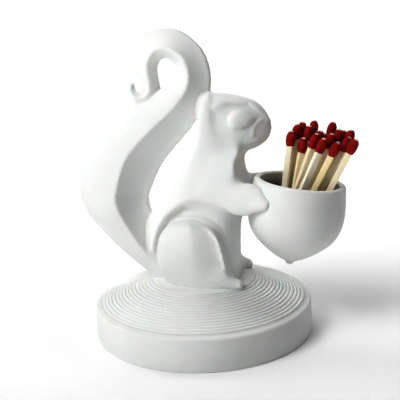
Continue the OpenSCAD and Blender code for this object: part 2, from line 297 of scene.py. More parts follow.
# back edge x, z; front edge x, z; share of the way to the ridge; thickness share
TAIL = [
    [-15, 14, -5, 14, 0.55, 0.55], [-21.5, 21, -9, 23, 0.57, 0.6],
    [-33, 31, -15, 35.5, 0.61, 0.78], [-43, 42, -18.5, 45.5, 0.63, 0.95],
    [-46.5, 49, -19.3, 49.5, 0.63, 1], [-47.2, 56, -18.6, 53, 0.63, 1],
    [-43.2, 70, -14.5, 61.5, 0.61, 0.95], [-36, 78, -9.6, 68, 0.6, 0.87],
    [-26.6, 83.7, -3.7, 74.3, 0.58, 0.78], [-17.4, 88.5, 1.6, 80.6, 0.56, 0.7],
    [-10.4, 92.5, 5.4, 88, 0.53, 0.63], [-7.2, 96.2, 6.3, 96.4, 0.48, 0.59],
    [-7.4, 99.8, 3, 105.2, 0.42, 0.56], [-9.6, 101.6, -5.2, 111.6, 0.36, 0.53],
    [-12, 101.2, -15.4, 111.8, 0.32, 0.5], [-13.3, 98.6, -22.4, 105.4, 0.31, 0.46],
    [-13.2, 95, -22.9, 98.5, 0.33, 0.4], [-12.8, 92.2, -21.1, 94.8, 0.38, 0.36],
    [-14.6, 87.5, -20, 92, 0.44, 0.31], [-18.7, 85.5, -20.3, 90.3, 0.48, 0.28],
    [-22.6, 86.8, -21.4, 90.3, 0.5, 0.25], [-24.8, 89.8, -22.2, 91.3, 0.5, 0.21],
    [-25, 92.2, -22.3, 92.8, 0.5, 0.17], [-24.3, 93.6, -23.2, 93.8, 0.5, 0.08]]


def tail_ring(row, size=16):
    back, front, ridge = row[0:2], row[2:4], row[4]
    half = max(row[5] * TAIL_HALF, 0.25)
    lip = 0.16 * half
    s = np.arange(1, size) / size
    behind = np.stack([s * ridge, half * (0.65 * np.sqrt(s * (2 - s)) + 0.35 * s)], 1)
    s = np.arange(0, size) / size
    before = np.stack([ridge + s * (1 - ridge), lip + (half - lip) * (1 - s) ** (1 + 0.09 * half)], 1)
    near = np.vstack([[0, 0], behind, before, [0.975, 0.85 * lip]])
    far = near[:0:-1] * [1, -1]
    outline = np.vstack([near, [1, 0], far])
    place = back + outline[:, :1] * (front - back)
    return np.stack([place[:, 0], outline[:, 1], place[:, 1]], 1)


tail = loft([tail_ring(row) for row in flow(TAIL, 12)], flip=True)
print("tail sections:", len(TAIL), "points:", len(tail[0]))

# %% [markdown]
# ## Body, thighs and head
# The body is cut from the seat upwards. Each of its sections is half an ellipse from the
# spine to the two front corners, closed by a gently bulging front. The corners are crisp
# above the elbows and soft below them. A thigh's section is a dome that ends in a crisp
# front rim. The head is cut from the nape to the nose.

# %% Body, thigh and head
HIP_HALF, THIGH_OUT, HEAD_HALF, CHEST_X, CHEST_Z, SEAT_Z = 13.5, 17.0, 9.6, 20.5, 54.0, 20.0
ELBOW_Z, ELBOW_BLEND = 52.0, 6.0
# height, back x, front x, half width share, how far the corners lie behind the front
TORSO = [
    [16, -19, 15, 0.9, 5], [22, -20, 15.1, 0.92, 5], [29, -20.8, 15.2, 0.92, 5.4],
    [36, -20.4, 15.4, 0.9, 6.6], [42, -18.9, 15.9, 0.88, 8], [47.5, -16, 17.6, 0.88, 7.4],
    [53, -12.2, 20, 0.88, 3.8], [58.5, -8.6, 18.4, 0.84, 2.5], [62, -6.4, 17.6, 0.79, 2.4],
    [65.5, -4.1, 17.3, 0.73, 1.9], [70, -1.6, 18.5, 0.6, 1.7], [76, 0.8, 16.5, 0.5, 3],
    [80, 2.6, 14, 0.4, 4]]
# height, rear x, front x, share of the way out
THIGH = [
    [17.5, -11.4, 14.8, 0.85], [20.5, -12.6, 14.2, 0.88], [25.6, -14.2, 12.8, 0.94],
    [29.5, -14.7, 11.8, 0.98], [33.5, -14.5, 11.1, 1], [37, -13.7, 10.2, 0.99],
    [39.8, -12.3, 8.8, 0.96], [41.8, -10, 6.6, 0.91], [43.1, -7, 3.6, 0.84],
    [43.9, -4, 0.8, 0.72]]
# x, underside z, top z, half width share
HEAD = [
    [1.4, 76, 84, 0.2], [2.6, 71.5, 87.4, 0.7], [4.6, 68.6, 88.8, 0.9], [8, 67.2, 89, 0.97],
    [12, 66.6, 88.6, 0.97], [16.5, 67, 87.7, 0.9], [20, 68.2, 86.5, 0.79],
    [23, 69.6, 84.9, 0.63], [25.4, 71.3, 82.2, 0.45], [26.9, 73.2, 79.6, 0.26],
    [27.6, 75.4, 77.2, 0.06]]


def turn_around(size):
    """Cosines and sines of a number of even steps round a circle."""
    a = 2 * math.pi * np.arange(size) / size
    return np.cos(a), np.sin(a)


def torso_ring(row, front_size=40, back_size=90):
    z, back, front, share, bulge = row
    wide = share * HIP_HALF
    y = np.linspace(1, -1, front_size)
    soft = min(max((ELBOW_Z - z) / ELBOW_BLEND, 0), 1)
    fall = (1 - soft) * y ** 2 + soft * (1 - np.sqrt(1 - y ** 2))
    face = np.stack([front - bulge * fall, wide * y], 1)
    a = np.linspace(math.pi / 2, -math.pi / 2, back_size)[1:-1]
    corner = front - bulge
    rear = np.stack([back + (corner - back) * (1 - np.cos(a)), -wide * squash(np.sin(a), 0.85)], 1)
    outline = np.vstack([face, rear])
    return np.column_stack([outline, np.full(len(outline), z)])


def dome(u, crest=0.58):
    """A thigh's height from rear to front: up to its crest, down again, and a rim that flares."""
    rise = np.clip(u / crest, 0, 1)
    fall = np.clip((u - crest) / (1 - crest), 0, 1)
    slope = 0.72 * (rise * (2 - rise)) ** 0.4 + 0.28 * rise
    return np.where(u < crest, slope, 1 - 0.42 * fall ** 1.5 + 0.28 * fall ** 7)


def thigh_ring(row, size=40):
    z, rear, front, share = row
    deep = 0.9 * THIGH_OUT
    u = (1 - np.cos(np.linspace(0, math.pi, size))) / 2
    x = rear + (front - rear) * u
    inner = share * THIGH_OUT - deep
    near = np.stack([x, inner + deep / 2 * (1 + dome(u))], 1)
    far = np.array([[front, inner], [rear + 0.3 * (front - rear), inner]])
    outline = np.vstack([near, far])[::-1]
    return np.column_stack([outline, np.full(len(outline), z)])


def head_ring(row, size=140):
    x, low, high, share = row
    c, s = turn_around(size)
    z = (low + high) / 2 + (high - low) / 2 * squash(s, 0.9)
    return np.stack([np.full(size, x), -share * HEAD_HALF * squash(c, 0.9), z], 1)


torso = loft([torso_ring(row) for row in flow(TORSO, 12)], flip=True)
thighs = both_sides(*loft([thigh_ring(row) for row in flow(THIGH, 8)]))
head = loft([head_ring(row) for row in flow(HEAD, 12)], flip=True)

# %% [markdown]
# ## Arms, feet and ears
# Arms and feet are tapered sleeves. The arms leave the chest, go round the cup and end in
# a soft paw on its wall, so their last rows are worked out from the cup's own axis. The
# ears are flat bands that rise out of the neck, so they are stacks of rounded boxes.

# %% Arms, feet and ears
CUP_R, CUP_TILT, CUP_Z, CUP_BITE = 17.5, math.radians(8), 57.0, 0.8
CUP_X = CHEST_X + CUP_R * math.cos(CUP_TILT) - CUP_BITE + (CUP_Z - CHEST_Z) * math.tan(CUP_TILT)
PAW_REACH, PAW_TIP = 55, 1.6


def on_cup(angle, out, z, radius, tall):
    """Row of a limb that lies on the cup's outer wall."""
    away, a = CUP_R + out, math.radians(angle)
    axis = CUP_X + (z - CUP_Z) * math.tan(CUP_TILT)
    return [axis - away * math.cos(a), away * math.sin(a), z, radius, tall]


arms = both_sides(*limb([
    [-3, 4, 56, 4, 1.3], [5, 6.2, 54, 4.1, 1.3], [11, 8.4, 52.8, 3.6, 1.45],
    [16, 10.1, 52.4, 3.1, 1.9],
    on_cup(PAW_REACH - 17.5, 1.6, 52.3, 1.5 * PAW_TIP, 2.3),
    on_cup(PAW_REACH - 9, 0.5, 51.6, 1.22 * PAW_TIP, 2),
    on_cup(PAW_REACH, -0.2, 51, PAW_TIP, 1.4)]))
feet = both_sides(*limb([
    [2, 10.6, SEAT_Z + 5, 4.6, 1], [7.6, 11.4, SEAT_Z + 3.8, 4.4, 1],
    [12.4, 12, SEAT_Z + 1.9, 3.4, 0.9], [15.4, 12.2, SEAT_Z + 1, 2.5, 0.9]]))
# height, rear x, front x, how far out the face of the ear stands
EAR = [
    [60, -4, 12, 8.6], [67, -1.4, 12.6, 8.7], [71.5, 0.6, 11.6, 8.8], [74.2, 1.6, 9.8, 8.9],
    [77, 2.4, 8.2, 9], [81, 2.9, 7.8, 9], [84, 3.3, 7.7, 8.5], [86.4, 3.9, 7.5, 7.4],
    [88, 4.8, 7.1, 6], [88.9, 5.5, 6.6, 4.8]]


def ear_ring(row, size=48, deep=2.4):
    z, rear, front, out = row
    c, s = turn_around(size)
    x = (rear + front) / 2 + (front - rear) / 2 * squash(c, 0.5)
    return np.stack([x, out - deep - deep * squash(s, 0.6), np.full(size, z)], 1)


ears = both_sides(*loft([ear_ring(row) for row in flow(EAR, 8)], flip=True))
SKINS = {"tail": tail, "torso": torso, "thighs": thighs, "head": head,
         "arms": arms, "feet": feet, "ears": ears}
print("skins:", {name: len(skin[0]) for name, skin in SKINS.items()})

# %% [markdown]
# ## Carving the sides
# The face is set back under the brow, the flank is set back behind a soft edge that
# runs from the rump over the thigh to the elbow, and a few fine edges and creases give
# the muzzle, the eye and the jaw. All of them are seen from the side, so each is drawn
# as a line in the x-z plane and pushes the skin in or out along y.

# %% Carving tools
def to_line(points, line):
    """Distance in the x-z plane from points to a line through corners."""
    line = np.array(line, float)
    best = np.full(len(points), np.inf)
    for a, b in zip(line[:-1], line[1:]):
        step = b - a
        share = np.clip(((points - a) @ step) / (step @ step), 0, 1)
        best = np.minimum(best, np.linalg.norm(points - a - share[:, None] * step, axis=1))
    return best


def inside(points, outline):
    """Which points of the x-z plane lie inside a closed outline."""
    x, z = points[:, 0], points[:, 1]
    odd = np.zeros(len(points), bool)
    for (ax, az), (bx, bz) in zip(outline, outline[1:] + outline[:1]):
        if az != bz:
            crosses = (az > z) != (bz > z)
            odd ^= crosses & (x < (bx - ax) * (z - az) / (bz - az) + ax)
    return odd


def ease(value, low, high):
    t = np.clip((value - low) / (high - low), 0, 1)
    return t * t * (3 - 2 * t)


def push(skin, amount):
    """Moves points along y: out from the middle for positive amounts, never past it."""
    points, faces = skin
    wide = np.abs(points[:, 1])
    moved = np.maximum(wide + amount, 0.2 * wide)
    return np.stack([points[:, 0], np.sign(points[:, 1]) * moved, points[:, 2]], 1), faces


def set_back(skin, outline, depth, edge, kept=None):
    """Sinks the sides inside an outline, over an edge of some width, but not at a kept spot."""
    flat = skin[0][:, [0, 2]]
    reach = to_line(flat, outline + outline[:1]) * np.where(inside(flat, outline), 1, -1)
    sunk = depth * ease(reach, -0.3 * edge, 0.7 * edge)
    if kept:
        x, z, near, far = kept
        sunk *= ease(np.hypot(flat[:, 0] - x, flat[:, 1] - z), near, far)
    return push(skin, -sunk)


def score(skin, line, height, width):
    """Raises a fine edge, or cuts a crease if height is negative, along a line."""
    return push(skin, height * np.exp(-(to_line(skin[0][:, [0, 2]], line) / width) ** 2))

# %% [markdown]
# The eye is a long almond with a pointed front corner, and it bulges out of the sunken
# face like a pillow: steep at its outline and almost flat in the middle.

# %% Carve the body and the face
BELLY = [(-17.5, 18), (-17.6, 28), (-16.8, 34), (-13.9, 40.5), (-10.7, 45.4), (-4.2, 50),
         (3.2, 51.4), (11.5, 50), (19.2, 48), (30, 47), (30, 10), (-17.5, 10)]
FACE = [(3, 85.2), (12.6, 85.7), (20, 85.5), (21.9, 84), (24, 82.3), (25.7, 80.4),
        (26.8, 78.2), (30, 76), (30, 62), (3, 62)]
MUZZLE_EDGE = [(25, 79.5), (24.1, 79), (22.7, 78.1), (21.9, 76.4), (21.6, 73.9)]
LID_CREASE = [(23.3, 80), (20.9, 78.2), (18.2, 77)]
JAW_EDGE = [(13.5, 70.2), (15.8, 70.6), (18.8, 71), (21.4, 71.5), (23.2, 72.4)]
EYE = [(13.1, 79.9), (13.6, 81.5), (15, 82.8), (17, 83.1), (19.2, 82.4), (21.4, 81.1), (23.2, 79.7),
       (20.9, 78.3), (18.2, 77.2), (15.8, 77.1), (13.9, 78)]
EYE_BULGE, EYE_ROOM = 1.8, 2.6

torso = set_back(torso, BELLY, depth=3.0, edge=3.2)
head = set_back(head, FACE, depth=1.5, edge=1.0, kept=(8, 86.5, 1.5, 6))
FINE_LINES = [(MUZZLE_EDGE, 0.7, 0.55), (LID_CREASE, -0.5, 0.5), (JAW_EDGE, 0.5, 0.8)]
for line, height, width in FINE_LINES:
    head = score(head, line, height, width)
flat = head[0][:, [0, 2]]
depth = np.where(inside(flat, EYE), np.minimum(to_line(flat, EYE + EYE[:1]) / EYE_ROOM, 1), 0)
head = push(head, EYE_BULGE * np.sqrt(depth * (2 - depth)))
SKINS.update(torso=torso, head=head)
print("carved: flank, face, eye and", len(FINE_LINES), "fine lines")

# %% [markdown]
# ## One casting from many skins
# The skins overlap, so a voxel remesh melts them to one closed surface. Then the
# joints are softened as a potter would with a wet brush: each pair of neighbours has
# its own radius, and only points that are close to both of them are relaxed towards
# their neighbours. Where no pair is named, the joint stays crisp.

# %% Fuse and soften
VOXEL = 0.46
FAR = 8.0
SOFT_JOINTS = {("torso", "arms"): 3.6, ("torso", "ears"): 4.0, ("head", "ears"): 0.8,
               ("torso", "head"): 2.6, ("thighs", "feet"): 3.0, ("torso", "thighs"): 1.2,
               ("tail", "torso"): 1.6, ("torso", "feet"): 2.5, ("tail", "head"): 1.2}


def all_points(mesh):
    found = np.empty(len(mesh.vertices) * 3)
    mesh.vertices.foreach_get("co", found)
    return found.reshape(-1, 3) / MM


def all_edges(mesh):
    found = np.empty(len(mesh.edges) * 2, int)
    mesh.edges.foreach_get("vertices", found)
    return found.reshape(-1, 2).T


def relax(points, edges, weight, rounds):
    """Moves each point towards the mean of its neighbours, by its weight, many times."""
    a, b = edges
    size = len(points)
    degree = np.maximum(np.bincount(np.concatenate([a, b]), minlength=size), 1)[:, None]
    for _ in range(rounds):
        total = np.stack([np.bincount(a, points[b, k], size) + np.bincount(b, points[a, k], size)
                          for k in range(3)], 1)
        points = points + weight[:, None] * (total / degree - points)
    return points


def apply_modifiers(made):
    """Turns an object with modifiers into one with the plain mesh that they give."""
    shown = made.evaluated_get(bpy.context.evaluated_depsgraph_get())
    mesh = bpy.data.meshes.new_from_object(shown)
    made.modifiers.clear()
    made.data = mesh
    return mesh


def distances(skin, spots):
    """Distance from each spot to a skin, or FAR where it is farther away than that."""
    tree = BVHTree.FromPolygons(skin[0].tolist(), skin[1])
    found = [tree.find_nearest(spot, FAR)[3] for spot in spots.tolist()]
    return np.array([FAR if away is None else away for away in found])


points, faces, first = [], [], 0
for skin_points, skin_faces in SKINS.values():
    points.append(skin_points)
    faces += [[v + first for v in face] for face in skin_faces]
    first += len(skin_points)
squirrel = mesh_object("squirrel", np.concatenate(points), faces)
remesh = squirrel.modifiers.new("remesh", "REMESH")
remesh.mode, remesh.voxel_size = "VOXEL", VOXEL * MM
mesh = apply_modifiers(squirrel)
spots, edges = all_points(mesh), all_edges(mesh)
reach = {name: distances(skin, spots) for name, skin in SKINS.items()}
soft = np.zeros(len(spots))
for (one, other), radius in SOFT_JOINTS.items():
    soft = np.maximum(soft, ease(-np.maximum(reach[one], reach[other]), -radius, -0.25 * radius))
even = np.ones(len(spots))
spots = relax(spots, edges, 0.5 * even, 3)
spots = relax(spots, edges, 0.6 * soft, 70)
mesh.vertices.foreach_set("co", (spots * MM).ravel())
print("squirrel:", len(spots), "points,", sum(len(p.vertices) - 2 for p in mesh.polygons), "triangles")

# %% [markdown]
# ## Finishing the porcelain pieces
# All three parts of the casting end the same way: outward faces, a `crease` attribute
# that tells how hollow the surface is at each point, the material, and the ties to the
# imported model. A point is hollow where its relaxed copy moves outward.

# %% Finish porcelain
def finish_porcelain(made, depth, rounds=14):
    """Outward faces, the crease attribute, material and ties of a porcelain piece."""
    mesh = made.data
    shell = bmesh.new()
    shell.from_mesh(mesh)
    bmesh.ops.recalc_face_normals(shell, faces=shell.faces)
    shell.to_mesh(mesh)
    shell.free()
    spots = all_points(mesh)
    normals = np.empty(len(mesh.vertices) * 3)
    mesh.vertices.foreach_get("normal", normals)
    moved = relax(spots, all_edges(mesh), 0.7 * np.ones(len(spots)), rounds) - spots
    hollow = np.clip((moved * normals.reshape(-1, 3)).sum(1) / depth, 0, 1)
    crease = mesh.attributes.new("crease", "FLOAT", "POINT")
    crease.data.foreach_set("value", hollow)
    mesh.materials.clear()
    mesh.materials.append(bisque)
    mesh.shade_smooth()
    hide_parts("squirrel_holder")
    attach(made, "root")
    triangles = sum(len(p.vertices) - 2 for p in mesh.polygons)
    print(made.name, "triangles:", triangles, "hollow points:", int((hollow > 0.5).sum()))


finish_porcelain(squirrel, depth=0.16)

# %% [markdown]
# ## The ridged base
# The base is turned on a wheel, and so is its model: a profile goes round the axis. The
# fifteen ridges follow a rule, so Geometry Nodes build them from a flat grid. One
# direction of the grid runs down the cone and the other runs round it, and the height of
# each ridge comes from the fractional part of its place. The plain drum is a lathe mesh,
# and the two are welded where they meet.

# %% Geometry Nodes helpers
KINDS = {int: "NodeSocketInt", float: "NodeSocketFloat"}


def recipe(name, **inputs):
    """A Geometry Nodes group with named inputs: its tree, its geometry and its inputs."""
    group = bpy.data.node_groups.new(name, "GeometryNodeTree")
    group.interface.new_socket("Geometry", in_out="INPUT", socket_type="NodeSocketGeometry")
    for label, value in inputs.items():
        made = group.interface.new_socket(label, in_out="INPUT", socket_type=KINDS[type(value)])
        made.default_value = value
    group.interface.new_socket("Geometry", in_out="OUTPUT", socket_type="NodeSocketGeometry")
    start = group.nodes.new("NodeGroupInput")
    tree = Tree(group)
    socks = [Sock(tree, socket) for socket in start.outputs[:-1]]
    return tree, socks[0], dict(zip(inputs, socks[1:]))


def serve(tree, geometry, material):
    """Ends a recipe: real geometry, its material and the output."""
    real = tree.node("GeometryNodeRealizeInstances", None, {"Geometry": geometry})
    dressed = tree.node("GeometryNodeSetMaterial", None, {"Geometry": real, "Material": material})
    finish = tree.tree.nodes.new("NodeGroupOutput")
    tree.tree.links.new(dressed.socket, finish.inputs[0])


def cook(made, tree, **inputs):
    """Runs a recipe on an object and leaves it with the plain mesh."""
    modifier = made.modifiers.new("recipe", "NODES")
    modifier.node_group = tree.tree
    keys = {item.name: item.identifier for item in tree.tree.interface.items_tree
            if item.in_out == "INPUT"}
    for label, value in inputs.items():
        modifier[keys[label]] = value
    return apply_modifiers(made)


def lathe(profile, segments):
    """Points and faces of a closed lathe shape; the profile starts and ends on the axis."""
    c, s = turn_around(segments)
    rows = np.array(profile[1:-1], float)
    rings = [np.stack([r * c, r * s, np.full(segments, z)], 1) for r, z in rows]
    points, faces = loft(rings)
    faces = faces[:-2]
    poles = np.array([[0, 0, profile[0][1]], [0, 0, profile[-1][1]]], float)
    first, last = len(points), len(points) + 1
    foot = (len(rows) - 1) * segments
    faces += [[first, (j + 1) % segments, j] for j in range(segments)]
    faces += [[last, foot + j, foot + (j + 1) % segments] for j in range(segments)]
    return np.concatenate([points, poles]), faces

# %% [markdown]
# The grooves of a real striker are worn and a little uneven, so a slow noise lifts and
# lowers the ridges by a few hundredths of a millimetre.

# %% Ridged base
BASE_R, DRAFT, RIM_H, CONE_RISE, SEAT_R, EDGE_R = 41.0, 0.3, 12.0, 8.0, 18.5, 1.0
RIDGES, RIDGE_H, RIDGE_MARGIN, ROUND = 15, 0.35, 2.4, 224
RIDGE_IN, RIDGE_OUT = SEAT_R + 0.6, BASE_R - RIDGE_MARGIN
SLOPE = CONE_RISE / (BASE_R - EDGE_R - SEAT_R)


def cone_z(r):
    return RIM_H + SLOPE * (BASE_R - EDGE_R - r)


tree, drum_shape, given = recipe(
    "ridged_cone", Ridges=RIDGES, Steps=14, Round=ROUND, Inner=RIDGE_IN * MM, Outer=RIDGE_OUT * MM,
    Top=cone_z(RIDGE_IN) * MM, Bottom=cone_z(RIDGE_OUT) * MM, Height=RIDGE_H * MM)
down_count = given["Ridges"].math("MULTIPLY_ADD", given["Steps"], 1.0)
grid_node = tree.tree.nodes.new("GeometryNodeMeshGrid")
grid_node.inputs["Size X"].default_value = 1.0
grid_node.inputs["Size Y"].default_value = 1.0
tree.tree.links.new(down_count.socket, grid_node.inputs["Vertices X"])
tree.tree.links.new((given["Round"] + 1.0).socket, grid_node.inputs["Vertices Y"])
grid, place = Sock(tree, grid_node.outputs[0]), Sock(tree, grid_node.outputs[1])
parted = tree.tree.nodes.new("ShaderNodeSeparateXYZ")
tree.tree.links.new(place.socket, parted.inputs[0])
along, around = Sock(tree, parted.outputs[0]), Sock(tree, parted.outputs[1])
step = (along * given["Ridges"]).math("FRACT")
lifted = step.ramp(0.0, 0.26) * (1 - step.ramp(0.6, 1.0))
radius = given["Outer"] + (given["Inner"] - given["Outer"]) * along
angle = around * (2 * math.pi)
x, y = radius * angle.math("COSINE"), radius * angle.math("SINE")
flat = tree.node("ShaderNodeCombineXYZ", None, {"X": x, "Y": y})
wear = 0.82 + 0.3 * tree.noise(flat, 70.0, 3.0)
height = given["Bottom"] + (given["Top"] - given["Bottom"]) * along + lifted * given["Height"] * wear
spot = tree.node("ShaderNodeCombineXYZ", None, {"X": x, "Y": y, "Z": height})
cone = tree.node("GeometryNodeSetPosition", None, {"Geometry": grid, "Position": spot})
joined = tree.tree.nodes.new("GeometryNodeJoinGeometry")
tree.tree.links.new(cone.socket, joined.inputs[0])
tree.tree.links.new(drum_shape.socket, joined.inputs[0])
welded = tree.node("GeometryNodeMergeByDistance", None,
                   {"Geometry": Sock(tree, joined.outputs[0]), "Distance": 0.02 * MM})
serve(tree, welded, bisque)

bend = [math.radians(a) for a in range(90, -1, -10)]
OUTER = BASE_R + DRAFT
upper = [[SEAT_R - 0.5, SEAT_Z], [SEAT_R - 0.15, SEAT_Z - 0.03], [SEAT_R, SEAT_Z - 0.15],
         [RIDGE_IN, cone_z(RIDGE_IN)]]
lower = [[RIDGE_OUT, cone_z(RIDGE_OUT)], [BASE_R - EDGE_R - 0.4, cone_z(BASE_R - EDGE_R - 0.4)]]
lower += [[BASE_R - EDGE_R + EDGE_R * math.cos(a), RIM_H - EDGE_R + EDGE_R * math.sin(a)] for a in bend]
lower += [[OUTER, 0.6], [OUTER - 0.18, 0.18], [OUTER - 0.6, 0]]
top_part = lathe([[0, SEAT_Z]] + upper + [[0, SEAT_Z]], ROUND)
low_part = lathe([[0, 0]] + lower + [[0, 0]], ROUND)
top_faces = top_part[1][:-2 * ROUND] + top_part[1][-2 * ROUND:-ROUND]
low_faces = low_part[1][:-2 * ROUND] + low_part[1][-ROUND:]
shift = len(top_part[0])
base = mesh_object("ridged_base", np.concatenate([top_part[0], low_part[0]]),
                   top_faces + [[v + shift for v in f] for f in low_faces])
cook(base, tree, Steps=14, Round=ROUND)
sweep = bmesh.new()
sweep.from_mesh(base.data)
bmesh.ops.delete(sweep, geom=[v for v in sweep.verts if not v.link_faces], context="VERTS")
sweep.to_mesh(base.data)
print("open edges of the base:", sum(e.is_boundary for e in sweep.edges))
sweep.free()
finish_porcelain(base, depth=0.1, rounds=10)

# %% [markdown]
# ## The acorn cup
# The cup is another turned shape with a rounded lip. It leans away from the squirrel,
# so its mesh is turned and moved, while the object itself stays at the origin. The
# hollow is painted dark as shade, so its points get an attribute that grows from
# nothing at the rim. The profile runs from the point outside over the rim to the floor
# inside, which tells the two apart.

# %% Acorn cup
CUP_H, CUP_WALL, CUP_FLOOR = 32.0, 2.4, 4.0
# share of the radius, share of the depth
ACORN = [[0.945, 0.03], [0.968, 0.13], [0.993, 0.26], [1, 0.36], [0.98, 0.46], [0.93, 0.56],
         [0.825, 0.66], [0.66, 0.752], [0.47, 0.836], [0.3, 0.896], [0.175, 0.93],
         [0.1, 0.952], [0.078, 0.98], [0, 1]]
LIP_R, CUP_RIM = 0.42 * CUP_WALL, 0.945 * CUP_R


def acorn(radius, depth):
    return [[max(r, 0) * radius, -d * depth] for r, d in flow(ACORN, 6)]


def lip(middle, angles):
    return [[middle + LIP_R * math.cos(a), LIP_R * (math.sin(a) - 1)] for a in np.radians(angles)]


outer = acorn(CUP_R, CUP_H)[::-1]
hollow = acorn(CUP_R - CUP_WALL, CUP_H - CUP_FLOOR)
rim = lip(CUP_RIM - LIP_R, range(10, 91, 20)) + lip(CUP_RIM - CUP_WALL + LIP_R, range(90, 171, 20))
CUP_ROUND = 160
points, faces = lathe(outer + rim + hollow, CUP_ROUND)
lean = np.array(Matrix.Rotation(CUP_TILT, 3, "Y"))
cup = mesh_object("acorn_cup", points @ lean.T + [CUP_X, 0, CUP_Z], faces)
inner = np.arange(len(points)) >= (len(outer) - 1 + len(rim)) * CUP_ROUND
inner[-2:] = False, True
# painted shade: the hollow darkens from the rim downwards
painted_inner_shade = ease(-points[:, 2], 0.5, 6) * inner
inner_shade = cup.data.attributes.new("inner_shade", "FLOAT", "POINT")
inner_shade.data.foreach_set("value", painted_inner_shade)
print("stained points inside the cup:", int((painted_inner_shade > 0.5).sum()))
finish_porcelain(cup, depth=0.1, rounds=10)

# %% [markdown]
# ## Matches
# Each match stands where its packed stick stands, so its place is read from that box:
# the two short sides that leave one corner, the direction across both, and the middle of
# the lower end. Geometry Nodes put one splint and one head on each of those places, turned
# by a rotation that is stored on the point, and give every copy its own bow and chips.

# %% Places of the matches
def stick_place(node):
    """Foot and rotation of a packed stick, from the corners of its box."""
    corners = np.array(sorted({tuple(round(c, 6) for c in v.co) for v in node.data.vertices}))
    away = corners - corners[0]
    order = np.argsort(np.linalg.norm(away, axis=1))
    side = away[order[1]] / np.linalg.norm(away[order[1]])
    other = away[order[2]] / np.linalg.norm(away[order[2]])
    up = np.cross(side, other)
    if up[2] < 0:
        side, other, up = other, side, -up
    reach = corners @ up
    foot = corners[reach < reach.mean()].mean(0)
    turn = Matrix(np.stack([side, other, up], 1).tolist()).to_quaternion()
    return foot, turn, reach.max() - reach.min(), np.linalg.norm(away[order[1]])


stick_names = sorted(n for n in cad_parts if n.startswith("match_stick"))
head_names = sorted(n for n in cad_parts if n.startswith("match_head"))
places = [stick_place(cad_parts[n]) for n in stick_names]
STICK_LENGTH, STICK_W = places[0][2] / MM, places[0][3] / MM
print("matches:", len(places), "sticks", round(STICK_LENGTH, 2), "mm long,", round(STICK_W, 2), "mm wide")

# %% [markdown]
# The blank of a splint is a square bar with rounded corners, cut into many sections so
# that it can bow. Every point stores its place in the bar as `fibre`, because the grain
# has to run along each match, whichever way it leans. The blank of a head is a blunt
# drop with a squarish neck, and its points store their places in the same way.

# %% Blanks
HEAD_D, HEAD_LEN, TIP_COVER = 3.4, 5.6, 1.3
MATCH_LENGTH = STICK_LENGTH + TIP_COVER
# share of the radius, share of the length
BULB = [[0.7, 0], [0.86, 0.12], [0.97, 0.3], [1, 0.48], [0.93, 0.66], [0.76, 0.8],
        [0.52, 0.9], [0.28, 0.97], [0, 1]]


def splint_blank(width, length, corner=0.14, rings=60):
    """A bar with rounded corners along z, and the place of every point in it."""
    half = width / 2
    outline = []
    for quarter in range(4):
        for a in np.radians(np.linspace(0, 90, 5) + 90 * quarter):
            sx, sy = math.cos(math.radians(45 + 90 * quarter)), math.sin(math.radians(45 + 90 * quarter))
            outline.append([np.sign(sx) * (half - corner) + corner * math.cos(a),
                            np.sign(sy) * (half - corner) + corner * math.sin(a)])
    outline = np.array(outline)
    return loft([np.column_stack([outline * (0.97 if z in (0, length) else 1), np.full(len(outline), z)])
                 for z in np.linspace(0, length, rings)])


def head_blank(segments=40):
    """A drop round the z axis, squarish at its neck; it starts where the dip ended."""
    profile = [[r * HEAD_D / 2, MATCH_LENGTH - HEAD_LEN + up * HEAD_LEN] for r, up in flow(BULB, 5)]
    profile[-1][0] = 0
    points, faces = lathe([[0, profile[0][1]]] + profile, segments)
    rise = (points[:, 2] - MATCH_LENGTH + HEAD_LEN) / HEAD_LEN
    turn = np.arctan2(points[:, 1], points[:, 0])
    square = 1 / np.maximum(np.abs(np.cos(turn)), np.abs(np.sin(turn)))
    share = 0.45 * ease(-rise, -0.35, 0)
    points[:, :2] *= (1 + share * (square - 1) * 0.8)[:, None]
    return points, faces


def blank_object(name, points, faces):
    made = mesh_object(name, points, faces)
    fibre = made.data.attributes.new("fibre", "FLOAT_VECTOR", "POINT")
    fibre.data.foreach_set("vector", (points * MM).ravel())
    return made


splint = blank_object("splint_blank", *splint_blank(STICK_W, STICK_LENGTH))
drop = blank_object("head_blank", *head_blank())
print("blank points:", len(splint.data.vertices), len(drop.data.vertices))

# %% [markdown]
# ## Standing the matches in the cup
# One recipe serves both blanks. `Bow` bends a copy along its length, `Rough` makes its
# skin uneven and `Grain` says how finely. They read the place in the blank and the number
# of the match, so a stick and its own head bend together.

